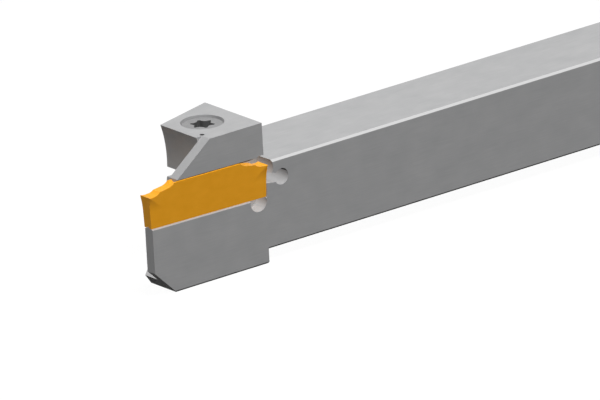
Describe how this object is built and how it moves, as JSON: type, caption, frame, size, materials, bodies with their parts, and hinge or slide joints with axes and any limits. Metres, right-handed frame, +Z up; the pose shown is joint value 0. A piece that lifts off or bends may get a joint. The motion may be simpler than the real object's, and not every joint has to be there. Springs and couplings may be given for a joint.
{
  "type": "parting tool holder",
  "caption": "Square-shank parting and grooving tool holder with a drop foot, a thin blade, a flexing clamp jaw, a sunk clamp screw and a gold-coated cutting insert.",
  "frame": {"origin": "on the shank's base face, in the middle of its width, at the shoulder where the head begins", "axes": "+X along the shank to its rear end, -Y to the insert's side, +Z up from the shank's base to the head's top"},
  "size_m": [0.1, 0.0123, 0.0194],
  "materials": {
    "holder_steel": "satin ground steel, plain grey",
    "insert_coating": "satin gold coating on ground carbide",
    "screw_steel": "satin turned steel"
  },
  "bodies": {
    "root": {"holder_body": "holder_steel", "cutting_insert": "insert_coating", "clamp_screw": "screw_steel"}
  },
  "joints": []
}
